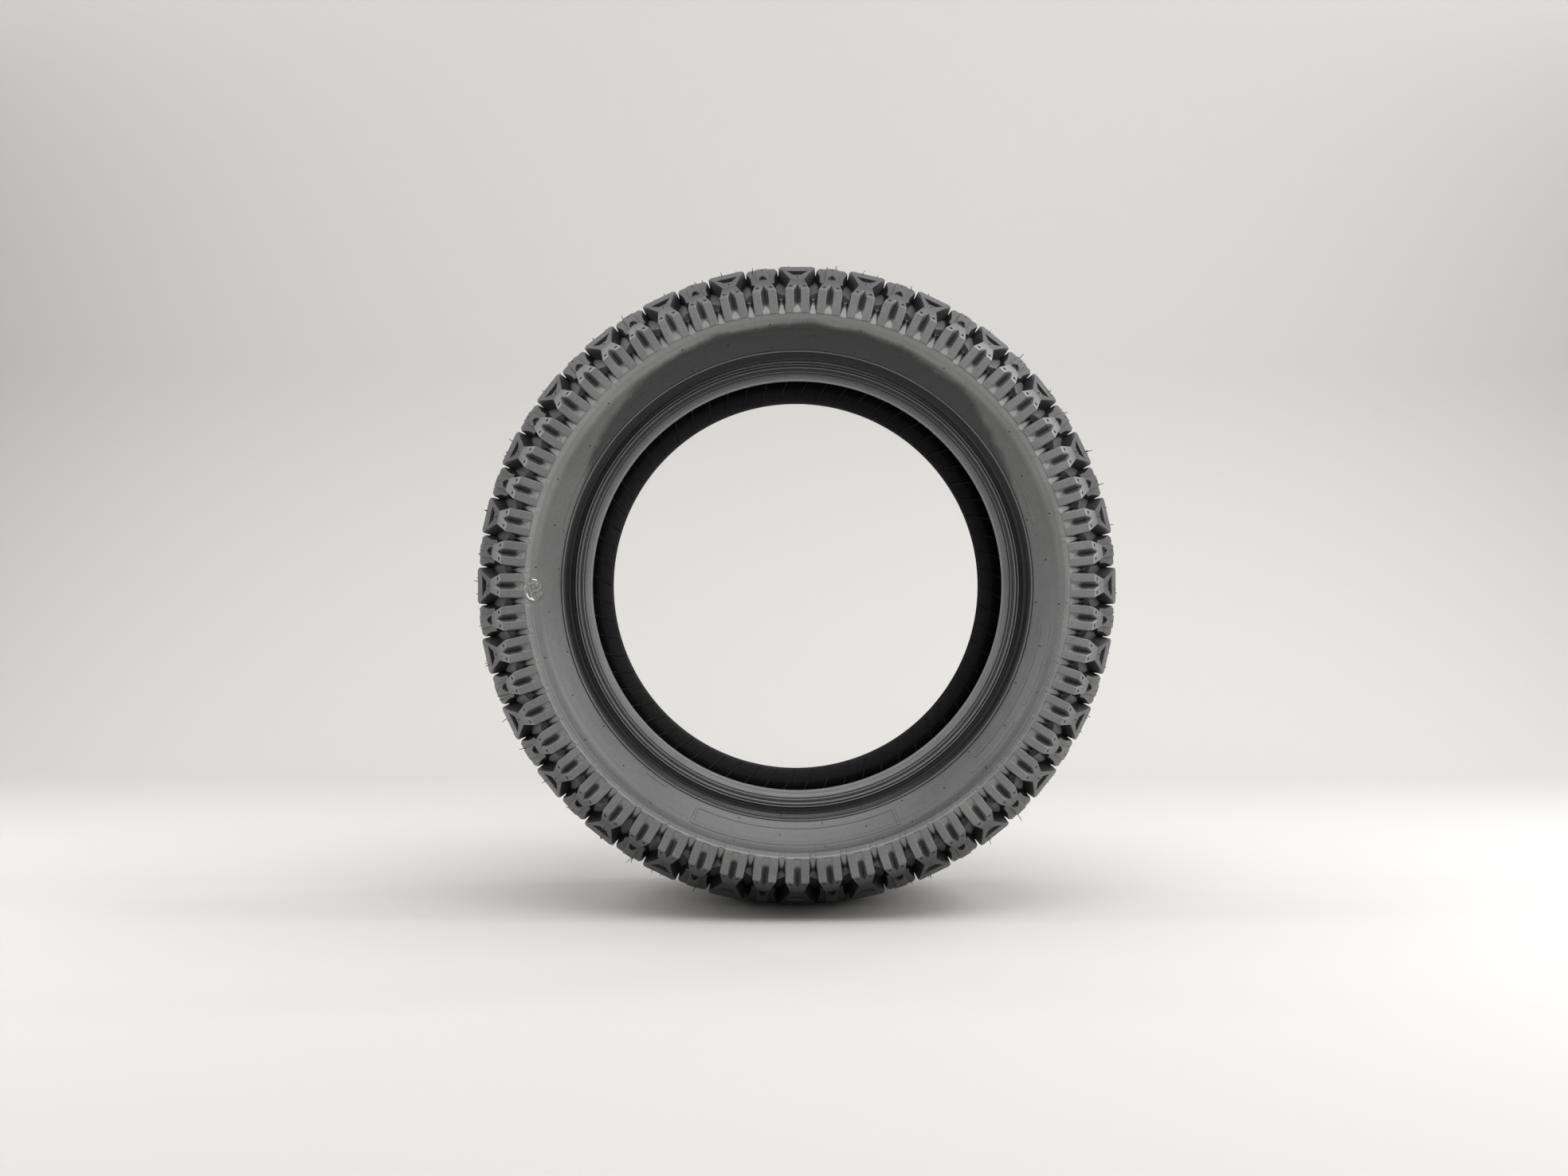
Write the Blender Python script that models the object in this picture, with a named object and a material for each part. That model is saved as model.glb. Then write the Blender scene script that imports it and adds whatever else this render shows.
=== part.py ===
"""Tubeless off-road tire for a 14 in rim, standing on its tread, built up from the layers a tire is built from.

The wheel axis is Y and the origin is the middle of the tire. The side called left faces -Y. Sections are drawn in
millimetres as (distance from the middle plane, radius) and turned round the axis.
"""

import math

import bmesh
import bpy
from mathutils import Matrix, Vector
from mathutils.geometry import delaunay_2d_cdt

MM = 0.001

# Driving dimensions, in millimetres.
LUG_PAIRS = 28
PITCH = math.pi / LUG_PAIRS
FIT_GAP = 0.3
PLY_GAUGE = 1.0
BREAKER_GAUGE = 1.1
UNDERTREAD_GAUGE = 1.6
LINER_GAUGE = 1.5
FLIPPER_GAUGE = 0.6
BEAD_Y = 99.1
BEAD_CORE_R = 184.5
BEAD_CORE_WIDTH = 3.7
BEAD_CORE_HEIGHT = 4.4
TOE_R = 176.5
RIM_LINE_R = 200.6
BEAD_FACE_Y = 106.0
CROWN_R = 287.0
CROWN_FLAT_Y = 30.0
LUG_FACE_Y = 131.0
LUG_FOOT_R = 229.5
UNDERTREAD_REACH = 92.0
OUTER_BREAKER_REACH = 80.0
INNER_BREAKER_REACH = 86.0
STICKER_RADIUS = 9.4
STICKER_GAUGE = 0.4
STICKER_SIDES = 24
STICKER_ANGLE = math.radians(-91.0)
STICKER_Y = 124.7
STICKER_R = 220.6
STICKER_OUTWARDS = (0.0, -0.778, -0.628)
STANDING_SINK = 1.0

# Middle line between the two body plies, from the crown round the bead core to the end of the turned-up edge.
CARCASS_LINE = [
    (30.0, 264.3),
    (66.0, 257.0),
    (98.0, 244.6),
    (112.6, 232.6),
    (114.4, 221.5),
    (95.4, 196.5),
    (94.65, 182.1),
    (96.9, 179.9),
    (101.1, 179.9),
    (103.35, 182.1),
    (103.35, 189.3),
    (101.0, 195.6),
    (105.9, 204.8),
]
BEAD_START = 6
BEAD_END = 10

# Distances of each layer's middle from the carcass line, outwards positive.
PLY_OFFSET = (PLY_GAUGE + FIT_GAP) / 2
PLIES_FACE = PLY_OFFSET + PLY_GAUGE / 2
CARCASS_HALF = PLIES_FACE + FIT_GAP
LINER_OFFSET = -(PLIES_FACE + FIT_GAP + LINER_GAUGE / 2)
INNER_BREAKER_OFFSET = PLIES_FACE + FIT_GAP + BREAKER_GAUGE / 2
OUTER_BREAKER_OFFSET = INNER_BREAKER_OFFSET + BREAKER_GAUGE + FIT_GAP
UNDERTREAD_OFFSET = OUTER_BREAKER_OFFSET + BREAKER_GAUGE / 2 + FIT_GAP + UNDERTREAD_GAUGE / 2
TREAD_SEAT = UNDERTREAD_OFFSET + UNDERTREAD_GAUGE / 2 + FIT_GAP
FLIPPER_OFFSET = PLIES_FACE + FIT_GAP + FLIPPER_GAUGE / 2

# Stations across the tread, as lengths along the lug tops from the middle of the crown.
CENTRE = 0.0
CROWN_EDGE = CROWN_FLAT_Y
KNOB_EDGE = 88.0
CHAMFER_TOP = 118.5
CHAMFER_FOOT = 137.5
LUG_FOOT = 158.7
TREAD_EDGE = 163.3
STATIONS = [CENTRE, CROWN_EDGE, KNOB_EDGE, CHAMFER_TOP, CHAMFER_FOOT, LUG_FOOT, TREAD_EDGE]
LUG_TOPS = [
    (0.0, CROWN_R),
    (CROWN_FLAT_Y, CROWN_R),
    (85.8, 271.3),
    (114.5, 261.0),
    (LUG_FACE_Y - 0.5, 250.6),
    (LUG_FACE_Y, LUG_FOOT_R),
    (127.2, 226.1),
]
GROOVE_FLOOR = [
    (0.0, 275.0),
    (CROWN_FLAT_Y, 274.4),
    (84.5, 260.3),
    (108.8, 248.6),
    (118.5, 239.5),
    (LUG_FACE_Y, LUG_FOOT_R),
    (127.2, 226.1),
]

# Half widths of the lugs, round the tire.
FRONT_HALF = 10.0
CHAMFER_TOP_HALF = 5.9
SLOT_HALF = 3.8
SLOT_APEX = 127.0
KNOB_HALF = 16.5
NECK_HALF = 4.9
NECK_FILLET = 3.0
BLOCK_HALF = 10.6
CROWN_HALF_Y_BLOCK = 13.6
CROWN_HALF_T_BLOCK = 14.6
NOSE_START = 14.0
NOSE_END = 4.0
WALL_RUN = 1.5
WINDOW_RIM = [(0.0, 111.0), (8.2, 90.5), (-8.2, 90.5)]
WINDOW_FLOOR = [(0.0, 106.5), (5.0, 93.0), (-5.0, 93.0)]
WINDOW_FLOOR_HEIGHT = 0.25


def clear_scene():
    for obj in list(bpy.data.objects):
        bpy.data.objects.remove(obj, do_unlink=True)


def material(name, colour, roughness, metallic=0.0):
    made = bpy.data.materials.new(name)
    made.use_nodes = True
    shader = made.node_tree.nodes["Principled BSDF"]
    shader.inputs["Base Color"].default_value = (*colour, 1.0)
    shader.inputs["Roughness"].default_value = roughness
    shader.inputs["Metallic"].default_value = metallic
    made.diffuse_color = (*colour, 1.0)
    return made


def finish(bm, name, surface, smooth=True):
    """Turns the faces outwards and adds the piece to the scene under its own name and material."""
    bmesh.ops.recalc_face_normals(bm, faces=bm.faces)
    mesh = bpy.data.meshes.new(name)
    bm.to_mesh(mesh)
    bm.free()
    mesh.materials.append(surface)
    if smooth:
        mesh.shade_smooth()
        mesh.set_sharp_from_angle(angle=math.radians(35.0))
    obj = bpy.data.objects.new(name, mesh)
    bpy.context.scene.collection.objects.link(obj)
    return obj


def around(y, r, angle):
    """The point at this radius and side distance, with the angle running from the top towards +X."""
    return Vector((r * math.sin(angle), y, r * math.cos(angle))) * MM


def ring_angles():
    return [(2 * k - 0.5) * PITCH for k in range(LUG_PAIRS)]


def mirrored(line):
    """A half section given from the middle outwards, made into the whole one from -Y to +Y."""
    return [(-y, r) for y, r in reversed(line)] + [(y, r) for y, r in line if y > 0]


def on_side(section, side):
    """The section as drawn for +Y, or its mirror image for -Y."""
    return [(side * y, r) for y, r in section]


def shifted(line, distance):
    """The line moved sideways, to its left, by this distance, with its corners kept sharp."""
    normals = []
    for (y0, r0), (y1, r1) in zip(line, line[1:]):
        along = Vector((y1 - y0, r1 - r0)).normalized()
        normals.append(Vector((-along.y, along.x)))
    moved = []
    for i, point in enumerate(line):
        before = normals[max(i - 1, 0)]
        after = normals[min(i, len(normals) - 1)]
        mean = (before + after).normalized()
        moved.append(tuple(Vector(point) + mean * (distance / mean.dot(after))))
    return moved


def strip(line, offset, gauge):
    """The section of a layer of even gauge that follows the line at this offset."""
    outer = shifted(line, offset + gauge / 2)
    inner = shifted(line, offset - gauge / 2)
    return outer + inner[::-1]


def line_cut_at(line, y):
    """The part of the carcass line between the crown and this side distance."""
    kept = [line[0]]
    for (y0, r0), (y1, r1) in zip(line, line[1:]):
        if y1 >= y:
            t = (y - y0) / (y1 - y0)
            return kept + [(y, r0 + t * (r1 - r0))]
        kept.append((y1, r1))
    return kept


def line_cut_by_radius(r):
    """The part of the carcass line between the crown and this radius on the sidewall."""
    kept = [CARCASS_LINE[0]]
    for (y0, r0), (y1, r1) in zip(CARCASS_LINE, CARCASS_LINE[1:]):
        if r1 <= r:
            t = (r - r0) / (r1 - r0)
            return kept + [(y0 + t * (y1 - y0), r)]
        kept.append((y1, r1))
    return kept


def ring(name, section, surface):
    """A section turned round the wheel axis into one closed piece."""
    bm = bmesh.new()
    loops = [[bm.verts.new(around(y, r, a)) for y, r in section] for a in ring_angles()]
    for k, loop in enumerate(loops):
        after = loops[(k + 1) % len(loops)]
        for i in range(len(section)):
            j = (i + 1) % len(section)
            bm.faces.new((loop[i], loop[j], after[j], after[i]))
    return finish(bm, name, surface)


def on_profile(profile, station):
    """The section point of a profile at a station, measured from the crown, on either side."""
    side = -1.0 if station < 0 else 1.0
    at = abs(station)
    for i in range(len(STATIONS) - 1):
        if at <= STATIONS[i + 1] or i == len(STATIONS) - 2:
            t = (at - STATIONS[i]) / (STATIONS[i + 1] - STATIONS[i])
            (y0, r0), (y1, r1) = profile[i], profile[i + 1]
            return side * (y0 + t * (y1 - y0)), r0 + t * (r1 - r0)


class Pattern:
    """One repeat of the tread, laid flat as (angle, station) points that each carry a height from floor to top."""

    def __init__(self):
        self.points = []
        self.heights = []
        self.edges = []

    def add(self, angle, station, height):
        for i, (a, s) in enumerate(self.points):
            if abs(a - angle) < 1e-5 and abs(s - station) < 1e-3:
                return i
        self.points.append((angle, station))
        self.heights.append(height)
        return len(self.points) - 1

    def chain(self, points, side, centre, height, close=False):
        """Joins (width, station) points into edges; widths are measured at the lug tops."""
        ids = []
        for x, station in points:
            r = on_profile(LUG_TOPS, station)[1]
            ids.append(self.add(centre + x / r, side * station, height))
        ends = ids[1:] + ids[:1] if close else ids[1:]
        self.edges += [(a, b) for a, b in zip(ids, ends) if a != b]

    def link_along(self, station):
        """Joins neighbouring points that lie on one station, so that the profile bends there."""
        row = sorted((a, i) for i, (a, s) in enumerate(self.points) if abs(s - station) < 1e-3)
        self.edges += [(i, j) for (_, i), (_, j) in zip(row, row[1:])]

    def triangles(self):
        scale = CROWN_R
        flat = [Vector((a * scale, s)) for a, s in self.points]
        edges = sorted({tuple(sorted(e)) for e in self.edges})
        points, _, faces, origins, _, _ = delaunay_2d_cdt(flat, edges, [], 1, 1e-4)
        heights = [self.heights[sources[0]] for sources in origins]
        return [(p.x / scale, p.y) for p in points], heights, faces


def lug_outline(crown_part):
    """The top of one lug from the middle of its slot round to the crown, mirrored to both sides."""
    half = [
        (SLOT_HALF, CHAMFER_FOOT),
        (SLOT_HALF - 0.2, LUG_FOOT),
        (FRONT_HALF - 0.2, LUG_FOOT),
        (FRONT_HALF, CHAMFER_FOOT),
        (CHAMFER_TOP_HALF, CHAMFER_TOP),
    ] + crown_part
    return [(0.0, SLOT_APEX)] + half + [(-x, s) for x, s in reversed(half)]


Y_BLOCK = [
    (KNOB_HALF, KNOB_EDGE),
    (CROWN_HALF_Y_BLOCK, CROWN_EDGE),
    (CROWN_HALF_Y_BLOCK - 0.6, NOSE_START),
    (7.0, NOSE_END),
]
T_BLOCK = [
    (NECK_HALF, CHAMFER_TOP - 2.5),
    (NECK_HALF, KNOB_EDGE),
    (BLOCK_HALF, KNOB_EDGE),
    (CROWN_HALF_T_BLOCK, CROWN_EDGE),
    (CROWN_HALF_T_BLOCK + 0.2, NOSE_START),
    (9.0, NOSE_END),
]


def pitch_width(station):
    return PITCH * on_profile(LUG_TOPS, station)[1]


def groove_line():
    """The floor of the groove beside a Y block, as (width, station) from that block's middle."""
    line = [(pitch_width(s) / 2, s) for s in (TREAD_EDGE, LUG_FOOT, CHAMFER_FOOT, CHAMFER_TOP)]
    for station, y_half, t_half in (
        (KNOB_EDGE, KNOB_HALF, BLOCK_HALF),
        (CROWN_EDGE, CROWN_HALF_Y_BLOCK, CROWN_HALF_T_BLOCK),
        (NOSE_START, CROWN_HALF_Y_BLOCK, CROWN_HALF_T_BLOCK),
    ):
        line.append(((y_half + pitch_width(station) - t_half) / 2, station))
    return line + [(pitch_width(CENTRE) / 2, CENTRE)]


def shoulder_floor():
    """The foot of the wall beside a lug's chamfer, out to where two lug fronts meet."""
    return [(CHAMFER_TOP_HALF + WALL_RUN, CHAMFER_TOP), (pitch_width(CHAMFER_FOOT) / 2, CHAMFER_FOOT)]


def shoulder_half(pattern, side, y_centre, t_centre):
    """Adds the lugs, slots, window and pockets of one side of the tread to the repeat."""
    knob_groove = groove_line()[STATIONS[::-1].index(KNOB_EDGE)][0]
    arm_floor = [(knob_groove, KNOB_EDGE)] + shoulder_floor()
    neck_floor = [
        (pitch_width(KNOB_EDGE) - knob_groove, KNOB_EDGE),
        (NECK_HALF + WALL_RUN, KNOB_EDGE + NECK_FILLET),
    ] + shoulder_floor()
    for centre, crown_part, floor in ((y_centre, Y_BLOCK, arm_floor), (t_centre, T_BLOCK, neck_floor)):
        pattern.chain(lug_outline(crown_part), side, centre, 1.0, close=True)
        pattern.chain([(0.0, SLOT_APEX + 4.0), (0.0, CHAMFER_FOOT)], side, centre, 0.0)
        pattern.chain(floor, side, centre, 0.0)
        pattern.chain([(-x, s) for x, s in floor], side, centre, 0.0)
    pattern.chain(WINDOW_RIM, side, y_centre, 1.0, close=True)
    pattern.chain(WINDOW_FLOOR, side, y_centre, WINDOW_FLOOR_HEIGHT, close=True)


def tread_repeat():
    """One Y block and one T block a side, the two sides staggered by one lug, out to the grooves on each end."""
    pattern = Pattern()
    shoulder_half(pattern, -1.0, 0.0, PITCH)
    shoulder_half(pattern, 1.0, PITCH, 0.0)
    groove = groove_line()
    for side, y_centre, turned in (
        (-1.0, 0.0, -1.0),
        (-1.0, 2 * PITCH, -1.0),
        (1.0, -PITCH, 1.0),
        (1.0, PITCH, 1.0),
    ):
        pattern.chain([(turned * x, s) for x, s in groove], side, y_centre, 0.0)
    between = groove[2:]
    pattern.chain(between, -1.0, 0.0, 0.0)
    pattern.chain([(-x, s) for x, s in between], 1.0, PITCH, 0.0)
    for station in STATIONS:
        pattern.link_along(station)
        pattern.link_along(-station)
    return pattern


def tread_seat_line():
    """The inside of the tread: over the undertread on the crown, then down onto the plies at the shoulder."""
    crown = shifted(CARCASS_LINE[:BEAD_START], TREAD_SEAT)[:2]
    crown.append(shifted(line_cut_at(CARCASS_LINE, 97.0), TREAD_SEAT)[-1])
    wing = shifted(CARCASS_LINE[:BEAD_START], CARCASS_HALF)[3:4]
    return crown + wing + [shifted(line_cut_by_radius(226.8), CARCASS_HALF)[-1]]


def flatten_underfoot(bm):
    """Squashes the lowest blocks onto one plane, as the tire's own weight does where it stands."""
    ground = (STANDING_SINK - CROWN_R * math.cos(CROWN_HALF_Y_BLOCK / CROWN_R)) * MM
    everything = list(bm.verts) + list(bm.edges) + list(bm.faces)
    bmesh.ops.bisect_plane(bm, geom=everything, dist=1e-7, plane_co=(0.0, 0.0, ground), plane_no=(0.0, 0.0, 1.0))
    for vert in bm.verts:
        vert.co.z = max(vert.co.z, ground)
    bmesh.ops.triangulate(bm, faces=[face for face in bm.faces if len(face.verts) > 4])


def tread_cap(surface):
    """Crown blocks, shoulder lugs and the rubber they stand on, moulded in one piece."""
    points, heights, faces = tread_repeat().triangles()
    bm = bmesh.new()
    for k in range(LUG_PAIRS):
        turn = 2 * k * PITCH
        made = []
        for (angle, station), height in zip(points, heights):
            y0, r0 = on_profile(GROOVE_FLOOR, station)
            y1, r1 = on_profile(LUG_TOPS, station)
            made.append(bm.verts.new(around(y0 + height * (y1 - y0), r0 + height * (r1 - r0), angle + turn)))
        for face in faces:
            bm.faces.new([made[i] for i in face])
    edge = LUG_TOPS[-1]
    seat = mirrored(tread_seat_line())
    section = [(-edge[0], edge[1])] + seat + [edge]
    loops = [[bm.verts.new(around(y, r, a)) for y, r in section] for a in ring_angles()]
    for k, loop in enumerate(loops):
        after = loops[(k + 1) % len(loops)]
        for i in range(len(section) - 1):
            bm.faces.new((loop[i], loop[i + 1], after[i + 1], after[i]))
    bmesh.ops.remove_doubles(bm, verts=bm.verts, dist=1e-5)
    flatten_underfoot(bm)
    bmesh.ops.dissolve_degenerate(bm, edges=bm.edges, dist=1e-6)
    return finish(bm, "tread_cap", surface)


def bead_core_section(side):
    """A hexagonal bundle of wire inside the bead."""
    w, h = BEAD_CORE_WIDTH / 2, BEAD_CORE_HEIGHT / 2
    corners = [(-w, -h * 0.5), (0.0, -h), (w, -h * 0.5), (w, h * 0.5), (0.0, h), (-w, h * 0.5)]
    return [(side * (BEAD_Y + y), BEAD_CORE_R + r) for y, r in corners]


def bead_filler_section(side):
    """A wedge of hard rubber on top of the wire, with its tip between the two legs of the plies."""
    foot = BEAD_CORE_R + BEAD_CORE_HEIGHT / 2 + FIT_GAP
    corners = [(97.6, foot), (100.8, foot), (100.4, 190.2), (99.2, 195.5), (101.2, 200.4), (97.3, 195.9)]
    return [(side * y, r) for y, r in corners]


def flipper_section(side):
    """A strip of fabric wrapped under the wire and up both sides of the filler."""
    wrap = [(95.05, 190.0)] + CARCASS_LINE[BEAD_START:BEAD_END] + [(103.35, 189.2)]
    return on_side(strip(wrap, FLIPPER_OFFSET, FLIPPER_GAUGE), side)


def chafer_section(side):
    """The rubbered fabric that meets the rim: up the air side, round the toe and heel, and out to the rim line."""
    seat = shifted([(95.05, 190.2)] + CARCASS_LINE[BEAD_START:], -CARCASS_HALF)[:-1]
    inside_y = 2 * BEAD_Y - BEAD_FACE_Y
    outer = [
        (105.3, RIM_LINE_R - 2.0),
        (103.6, 194.8),
        (BEAD_FACE_Y, 190.4),
        (BEAD_FACE_Y, 180.4),
        (BEAD_FACE_Y - 2.2, TOE_R + 1.3),
        (inside_y + 1.2, TOE_R),
        (inside_y, TOE_R + 2.0),
        (inside_y, 190.2),
    ]
    return on_side(seat + [(104.0, RIM_LINE_R - 2.4)] + outer, side)


def sidewall_section(side):
    """Flexing side rubber from the rim line up to the lug feet, with the turned-up ply edge buried in it."""
    top = shifted(line_cut_by_radius(226.0), CARCASS_HALF)[-1]
    knee = shifted(CARCASS_LINE[:BEAD_START], CARCASS_HALF)[4]
    outer = [
        (126.95, 225.8),
        (120.6, 217.6),
        (114.8, 211.1),
        (110.0, 205.0),
        (107.3, RIM_LINE_R + 1.1),
        (107.6, RIM_LINE_R),
        (106.7, RIM_LINE_R - 1.2),
        (105.6, RIM_LINE_R - 1.6),
    ]
    round_ply_end = [(104.4, RIM_LINE_R - 1.7), (107.4, 204.4), (105.1, 206.0)]
    return on_side(outer + round_ply_end + [knee, top], side)


def inspection_sticker(surface):
    """A round clear label stuck on the left side, at nine o'clock just under the lug feet."""
    outwards = Vector(STICKER_OUTWARDS)
    across = Vector((1.0, 0.0, 0.0))
    up = outwards.cross(across).normalized()
    middle = Vector((0.0, -STICKER_Y, STICKER_R))
    bm = bmesh.new()
    rims = []
    for lift in (0.0, STICKER_GAUGE):
        rim = []
        for k in range(STICKER_SIDES):
            a = 2 * math.pi * k / STICKER_SIDES
            spread = across * math.cos(a) + up * math.sin(a)
            rim.append(bm.verts.new((middle + spread * STICKER_RADIUS + outwards * lift) * MM))
        rims.append(rim)
    bm.faces.new(rims[0])
    bm.faces.new(rims[1])
    for k in range(STICKER_SIDES):
        j = (k + 1) % STICKER_SIDES
        bm.faces.new((rims[0][k], rims[0][j], rims[1][j], rims[1][k]))
    bmesh.ops.rotate(bm, verts=bm.verts, cent=(0, 0, 0), matrix=Matrix.Rotation(STICKER_ANGLE, 3, "Y"))
    return finish(bm, "inspection_sticker", surface, smooth=False)


clear_scene()

tread_rubber = material("tread_rubber", (0.045, 0.045, 0.047), 0.62)
side_rubber = material("side_rubber", (0.055, 0.055, 0.058), 0.55)
cushion_rubber = material("cushion_rubber", (0.03, 0.03, 0.032), 0.7)
liner_rubber = material("liner_rubber", (0.012, 0.012, 0.013), 0.5)
body_cord = material("body_cord", (0.33, 0.27, 0.18), 0.8)
breaker_cord = material("breaker_cord", (0.40, 0.33, 0.23), 0.8)
chafer_cloth = material("chafer_cloth", (0.04, 0.04, 0.042), 0.75)
flipper_cloth = material("flipper_cloth", (0.28, 0.25, 0.2), 0.85)
bead_wire = material("bead_wire", (0.55, 0.45, 0.3), 0.35, 1.0)
hard_rubber = material("hard_rubber", (0.025, 0.025, 0.027), 0.6)
clear_label = material("clear_label", (0.75, 0.75, 0.73), 0.3)

whole_line = mirrored(CARCASS_LINE)
liner_line = mirrored(CARCASS_LINE[:BEAD_START] + [(95.1, 191.0)])

tread_cap(tread_rubber)
ring(
    "undertread",
    strip(mirrored(line_cut_at(CARCASS_LINE, UNDERTREAD_REACH)), UNDERTREAD_OFFSET, UNDERTREAD_GAUGE),
    cushion_rubber,
)
ring(
    "breaker_ply_outer",
    strip(mirrored(line_cut_at(CARCASS_LINE, OUTER_BREAKER_REACH)), OUTER_BREAKER_OFFSET, BREAKER_GAUGE),
    breaker_cord,
)
ring(
    "breaker_ply_inner",
    strip(mirrored(line_cut_at(CARCASS_LINE, INNER_BREAKER_REACH)), INNER_BREAKER_OFFSET, BREAKER_GAUGE),
    breaker_cord,
)
ring("body_ply_outer", strip(whole_line, PLY_OFFSET, PLY_GAUGE), body_cord)
ring("body_ply_inner", strip(whole_line, -PLY_OFFSET, PLY_GAUGE), body_cord)
ring("inner_liner", strip(liner_line, LINER_OFFSET, LINER_GAUGE), liner_rubber)
for side, label in ((-1, "left"), (1, "right")):
    ring("sidewall_" + label, sidewall_section(side), side_rubber)
    ring("chafer_" + label, chafer_section(side), chafer_cloth)
    ring("bead_flipper_" + label, flipper_section(side), flipper_cloth)
    ring("bead_filler_" + label, bead_filler_section(side), hard_rubber)
    ring("bead_core_" + label, bead_core_section(side), bead_wire)
inspection_sticker(clear_label)
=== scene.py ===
"""An off-road tire for a 14 in rim, standing on its tread on a pale studio floor, seen along its axis."""

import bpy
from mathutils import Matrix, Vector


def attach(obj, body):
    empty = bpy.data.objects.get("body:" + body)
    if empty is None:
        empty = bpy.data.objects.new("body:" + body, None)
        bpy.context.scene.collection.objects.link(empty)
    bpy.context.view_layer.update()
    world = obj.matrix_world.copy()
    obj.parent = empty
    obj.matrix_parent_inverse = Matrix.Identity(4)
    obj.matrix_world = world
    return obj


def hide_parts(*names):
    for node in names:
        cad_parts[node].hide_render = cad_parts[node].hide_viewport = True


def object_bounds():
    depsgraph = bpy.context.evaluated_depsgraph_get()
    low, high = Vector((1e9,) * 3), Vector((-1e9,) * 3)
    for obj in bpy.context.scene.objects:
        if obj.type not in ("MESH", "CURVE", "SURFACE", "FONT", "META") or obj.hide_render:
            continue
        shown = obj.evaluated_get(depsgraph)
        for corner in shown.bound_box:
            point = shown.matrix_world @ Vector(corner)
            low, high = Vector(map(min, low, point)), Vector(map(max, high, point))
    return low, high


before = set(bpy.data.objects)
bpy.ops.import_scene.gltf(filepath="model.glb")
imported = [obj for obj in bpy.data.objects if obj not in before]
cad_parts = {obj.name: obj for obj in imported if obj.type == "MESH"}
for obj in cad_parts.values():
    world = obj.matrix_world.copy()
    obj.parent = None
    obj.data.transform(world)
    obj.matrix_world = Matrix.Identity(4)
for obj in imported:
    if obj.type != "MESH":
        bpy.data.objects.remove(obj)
cad_box = [list(map(float, corner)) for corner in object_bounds()]

import math
import random

import bmesh
import bpy
from mathutils import Vector
from mathutils.geometry import delaunay_2d_cdt


# The studio: a seamless sweep of pale paper, soft lamps at both sides, overhead and behind the viewer, three
# more on the paper behind, and a plain lens level with the hub. None of it belongs to the tire.
FLOOR_Z = cad_box[0][2]
SWEEP_FRONT, SWEEP_BACK, SWEEP_BEND, SWEEP_HALF, SWEEP_TOP = -5.0, 1.7, 0.7, 4.5, 3.8

eye = bpy.data.cameras.new("camera")
eye.lens = 40.06
eye.sensor_width = 36.0
eye.clip_start = 0.05
camera = bpy.data.objects.new("camera", eye)
camera.location = (-0.0113, -1.6, -0.002)
camera.rotation_euler = (math.radians(90.0), 0.0, 0.0)
bpy.context.scene.collection.objects.link(camera)
bpy.context.scene.camera = camera
bpy.context.scene.view_settings.view_transform = "Standard"


class Value:
    """A shader socket: sums on it add Math nodes, step() adds a smooth rise, and node() any other node."""

    tree = None

    def __init__(self, socket):
        self.socket = socket

    @classmethod
    def node(cls, kind, settings, inputs, out=0):
        made = cls.tree.nodes.new(kind)
        for key, setting in settings.items():
            setattr(made, key, setting)
        for key, given in inputs.items():
            if isinstance(given, cls):
                cls.tree.links.new(given.socket, made.inputs[key])
            else:
                made.inputs[key].default_value = given
        return cls(made.outputs[out])

    def maths(self, operation, first, second):
        return Value.node("ShaderNodeMath", {"operation": operation}, {0: first, 1: second})

    def __add__(self, other):
        return self.maths("ADD", self, other)

    def __radd__(self, other):
        return self.maths("ADD", other, self)

    def __sub__(self, other):
        return self.maths("SUBTRACT", self, other)

    def __rsub__(self, other):
        return self.maths("SUBTRACT", other, self)

    def __mul__(self, other):
        return self.maths("MULTIPLY", self, other)

    def __rmul__(self, other):
        return self.maths("MULTIPLY", other, self)

    def __truediv__(self, other):
        return self.maths("DIVIDE", self, other)

    def __rtruediv__(self, other):
        return self.maths("DIVIDE", other, self)

    def __abs__(self):
        return Value.node("ShaderNodeMath", {"operation": "ABSOLUTE"}, {0: self})

    def step(self, low, high):
        """0 up to the low value, 1 from the high one, and a smooth rise between."""
        ends = {"Value": self, "From Min": low, "From Max": high}
        return Value.node("ShaderNodeMapRange", {"interpolation_type": "SMOOTHSTEP"}, ends)


def new_material(name):
    """A new material, with the shader nodes that are made next going into it."""
    made = bpy.data.materials.new(name)
    made.use_nodes = True
    Value.tree = made.node_tree
    return made


def set_inputs(made, **inputs):
    """Sets the Principled shader's inputs to plain values or to shader values."""
    shader = made.node_tree.nodes["Principled BSDF"]
    for key, given in inputs.items():
        into = shader.inputs[key.replace("_", " ")]
        if isinstance(given, Value):
            made.node_tree.links.new(given.socket, into)
        else:
            into.default_value = given


def new_piece(name, points, faces, material, smooth_under=None):
    """A mesh in millimetres made into an object, smooth where neighbouring faces meet under this angle."""
    mesh = bpy.data.meshes.new(name)
    mesh.from_pydata([Vector(p) * 0.001 for p in points], [], faces)
    mesh.materials.append(material)
    if smooth_under:
        mesh.shade_smooth()
        mesh.set_sharp_from_angle(angle=math.radians(smooth_under))
    made = bpy.data.objects.new(name, mesh)
    bpy.context.scene.collection.objects.link(made)
    return made


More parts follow.
